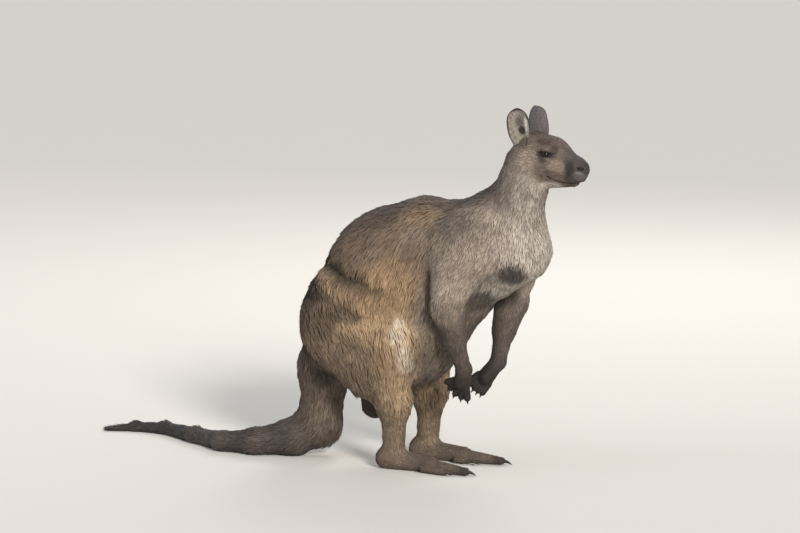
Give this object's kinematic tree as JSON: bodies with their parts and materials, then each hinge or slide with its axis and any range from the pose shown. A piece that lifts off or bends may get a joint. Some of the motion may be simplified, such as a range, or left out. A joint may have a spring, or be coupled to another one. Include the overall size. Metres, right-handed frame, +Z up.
{
  "type": "grey kangaroo model",
  "caption": "Life-size still model of a large male grey kangaroo, standing half upright on its hind feet and tail with its forepaws together.",
  "frame": {"origin": "on the floor, under the middle of the box round the whole animal", "axes": "+X towards the nose, +Y to the animal's left, +Z up"},
  "size_m": [1.6142, 0.37, 1.0239],
  "materials": {
    "fur": "thick grey-brown coat of soft hair",
    "dark_fur": "short near-black hair",
    "ear_fur": "short fine hair, pale inside and dark outside",
    "eye": "glossy dark brown",
    "claw": "smooth black horn"
  },
  "bodies": {
    "root": {"head": "fur", "eye_left": "eye", "eye_right": "eye", "ear_left": "ear_fur", "ear_right": "ear_fur", "neck": "fur", "trunk": "fur", "scrotum": "fur", "tail_base": "fur", "tail_middle": "dark_fur", "tail_end": "dark_fur", "tail_tip": "dark_fur", "thigh_left": "fur", "shank_left": "fur", "foot_left": "dark_fur", "upper_arm_left": "fur", "forearm_left": "fur", "hand_left": "dark_fur", "toe_claw_great_left": "claw", "toe_claw_outer_left": "claw", "toe_claw_inner_a_left": "claw", "toe_claw_inner_b_left": "claw", "finger_claw_1_left": "claw", "finger_claw_2_left": "claw", "finger_claw_3_left": "claw", "finger_claw_4_left": "claw", "finger_claw_5_left": "claw", "thigh_right": "fur", "shank_right": "fur", "foot_right": "dark_fur", "upper_arm_right": "fur", "forearm_right": "fur", "hand_right": "dark_fur", "toe_claw_great_right": "claw", "toe_claw_outer_right": "claw", "toe_claw_inner_a_right": "claw", "toe_claw_inner_b_right": "claw", "finger_claw_1_right": "claw", "finger_claw_2_right": "claw", "finger_claw_3_right": "claw", "finger_claw_4_right": "claw", "finger_claw_5_right": "claw"}
  },
  "joints": []
}
